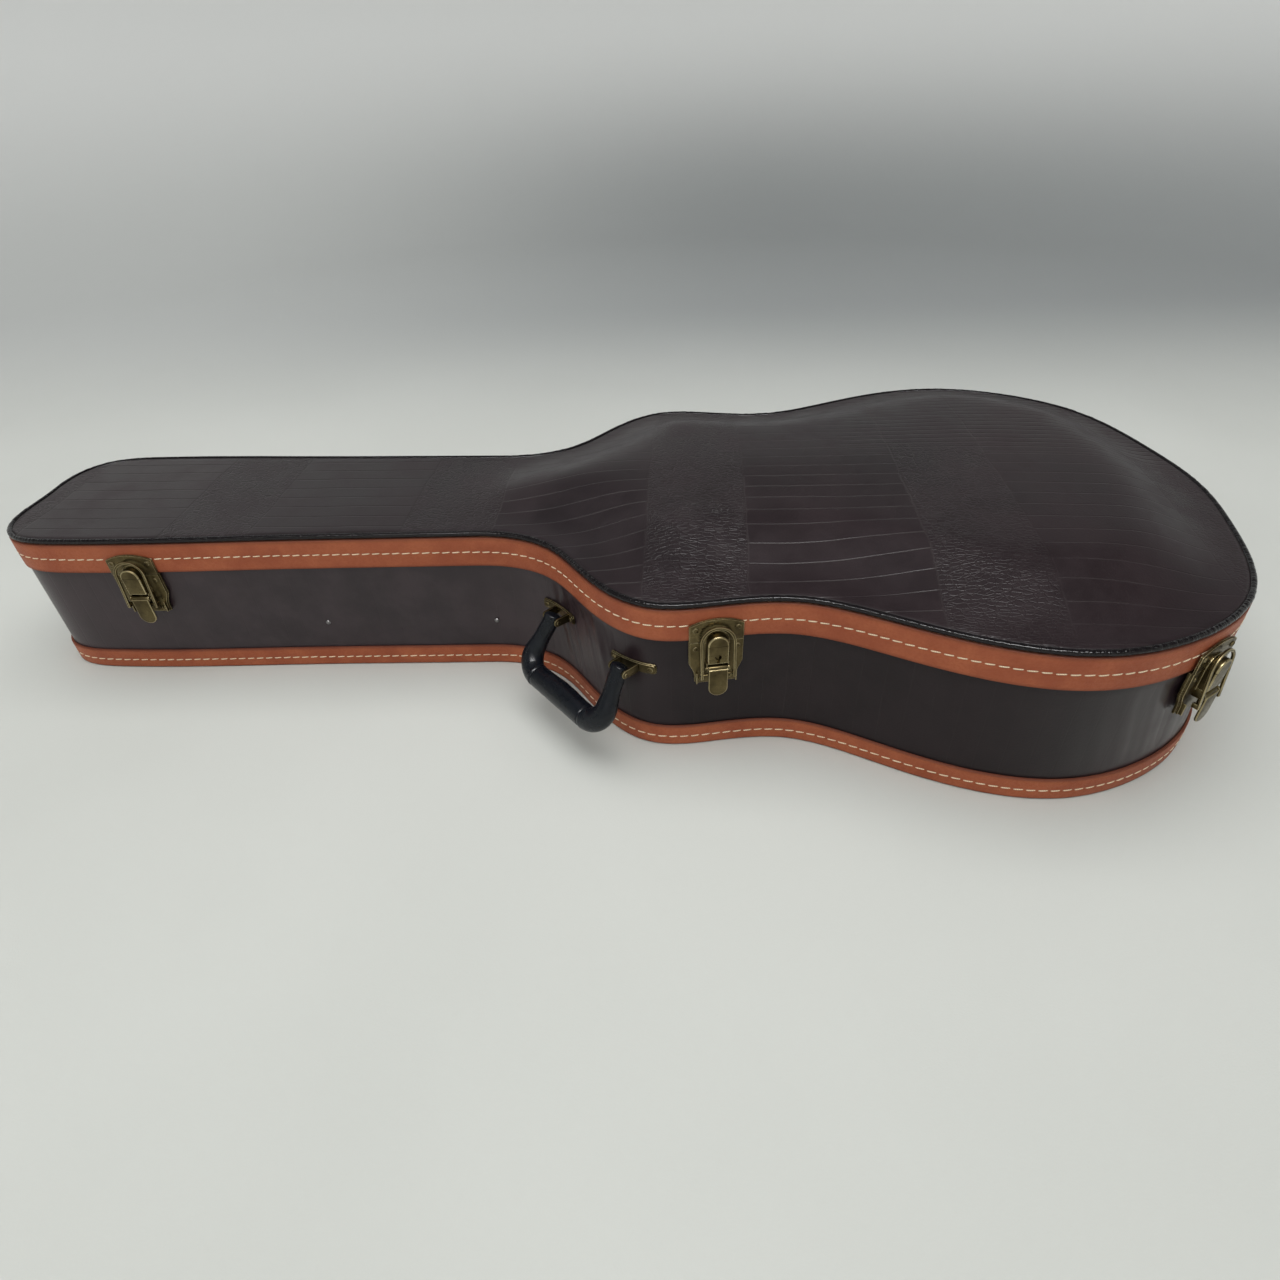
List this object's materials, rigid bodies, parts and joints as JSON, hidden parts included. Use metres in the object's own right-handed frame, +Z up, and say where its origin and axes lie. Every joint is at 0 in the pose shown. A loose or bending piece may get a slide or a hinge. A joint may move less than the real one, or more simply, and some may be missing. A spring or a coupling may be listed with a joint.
{
  "type": "guitar case",
  "caption": "Hard guitar case with a domed hinged lid, draw latches with levers and bails, a folding carrying handle and a lidded compartment under the neck.",
  "frame": {"origin": "middle of the flat underside of the base, on the centreline, halfway between the head and tail ends of the side walls", "axes": "+X towards the tail end, +Y towards the hinges, -Y towards the latches and the handle, +Z up through the lid"},
  "size_m": [1.0903, 0.4971, 0.1717],
  "materials": {
    "vinyl": "glossy embossed crocodile-pattern vinyl",
    "covered_panel": "plywood covered with glossy embossed vinyl",
    "piping": "glossy rolled edge",
    "tan_leather": "semi-gloss with one row of cream stitching",
    "plywood": "raw",
    "plush": "short pile plush over foam",
    "brass": "antique",
    "steel": "dull",
    "handle_plastic": "smooth moulded"
  },
  "bodies": {
    "base": {"base_covering": "vinyl", "base_lining_floor": "plush", "base_lining_side": "plush", "base_panel": "covered_panel", "base_side_far": "plywood", "base_side_near": "plywood", "base_trim_band": "tan_leather", "compartment_end_body": "plush", "compartment_end_head": "plush", "compartment_hinge_leaf": "brass", "compartment_hinge_pin": "brass", "compartment_rail_far": "plush", "compartment_rail_near": "plush", "handle_bracket_left": "brass", "handle_bracket_right": "brass", "handle_pin_left": "brass", "handle_pin_right": "brass", "hinge_head_base_leaf": "brass", "hinge_head_pin": "brass", "hinge_lower_base_leaf": "brass", "hinge_lower_pin": "brass", "hinge_upper_base_leaf": "brass", "hinge_upper_pin": "brass", "latch_head_pin": "brass", "latch_head_plate": "brass", "latch_tail_pin": "brass", "latch_tail_plate": "brass", "latch_waist_pin": "brass", "latch_waist_plate": "brass", "nail_body": "steel", "nail_head": "steel", "neck_cradle": "plush"},
    "lid": {"hinge_head_lid_leaf": "brass", "hinge_lower_lid_leaf": "brass", "hinge_upper_lid_leaf": "brass", "latch_head_keeper": "brass", "latch_tail_keeper": "brass", "latch_waist_keeper": "brass", "lid_edge_piping": "piping", "lid_lining_side": "plush", "lid_lining_top": "plush", "lid_side_far": "plywood", "lid_side_near": "plywood", "lid_top_panel": "covered_panel", "lid_trim_band": "tan_leather"},
    "compartment_lid": {"compartment_hinge_flap": "brass", "compartment_lid": "plush", "compartment_pull_tab": "tan_leather"},
    "handle": {"handle_grip": "handle_plastic"},
    "latch_head_lever": {"latch_head_lever": "brass"},
    "latch_head_bail": {"latch_head_bail": "brass"},
    "latch_waist_lever": {"latch_waist_lever": "brass"},
    "latch_waist_bail": {"latch_waist_bail": "brass"},
    "latch_tail_lever": {"latch_tail_lever": "brass"},
    "latch_tail_bail": {"latch_tail_bail": "brass"}
  },
  "joints": [
    {"name": "lid_hinge", "type": "hinge", "parent": "base", "child": "lid", "pos_m": [-0.50501, 0.09117, 0.111], "axis": [-0.983, -0.1838, 0], "range_deg": [0, 100]},
    {"name": "compartment_hinge", "type": "hinge", "parent": "base", "child": "compartment_lid", "pos_m": [0, 0.05566, 0.0806], "axis": [-1, 0, 0], "range_deg": [0, 90]},
    {"name": "handle_hinge", "type": "hinge", "parent": "base", "child": "handle", "pos_m": [0.00215, -0.15192, 0.081], "axis": [-0.6783, 0.7348, 0], "range_deg": [0, 112]},
    {"name": "latch_head_lever_pivot", "type": "hinge", "parent": "base", "child": "latch_head_lever", "pos_m": [-0.41181, -0.09731, 0.0895], "axis": [-0.9999, -0.0168, 0], "range_deg": [0, 110]},
    {"name": "latch_head_bail_pivot", "type": "hinge", "parent": "latch_head_lever", "child": "latch_head_bail", "pos_m": [-0.41181, -0.09731, 0.083], "axis": [-0.9999, -0.0168, 0], "range_deg": [-132, 0]},
    {"name": "latch_waist_lever_pivot", "type": "hinge", "parent": "base", "child": "latch_waist_lever", "pos_m": [0.11202, -0.19402, 0.0895], "axis": [-0.9838, -0.1791, 0], "range_deg": [0, 110]},
    {"name": "latch_waist_bail_pivot", "type": "hinge", "parent": "latch_waist_lever", "child": "latch_waist_bail", "pos_m": [0.11202, -0.19402, 0.083], "axis": [-0.9838, -0.1791, 0], "range_deg": [-132, 0]},
    {"name": "latch_tail_lever_pivot", "type": "hinge", "parent": "base", "child": "latch_tail_lever", "pos_m": [0.46337, -0.21986, 0.0895], "axis": [-0.8262, -0.5634, 0], "range_deg": [0, 110]},
    {"name": "latch_tail_bail_pivot", "type": "hinge", "parent": "latch_tail_lever", "child": "latch_tail_bail", "pos_m": [0.46337, -0.21986, 0.083], "axis": [-0.8262, -0.5634, 0], "range_deg": [-132, 0]}
  ],
  "couplings": [
    {"joint": "compartment_hinge", "follows": "lid_hinge", "ratio": 0.9},
    {"joint": "latch_head_bail_pivot", "follows": "latch_head_lever_pivot", "ratio": -1.2},
    {"joint": "latch_waist_bail_pivot", "follows": "latch_waist_lever_pivot", "ratio": -1.2},
    {"joint": "latch_tail_bail_pivot", "follows": "latch_tail_lever_pivot", "ratio": -1.2}
  ]
}
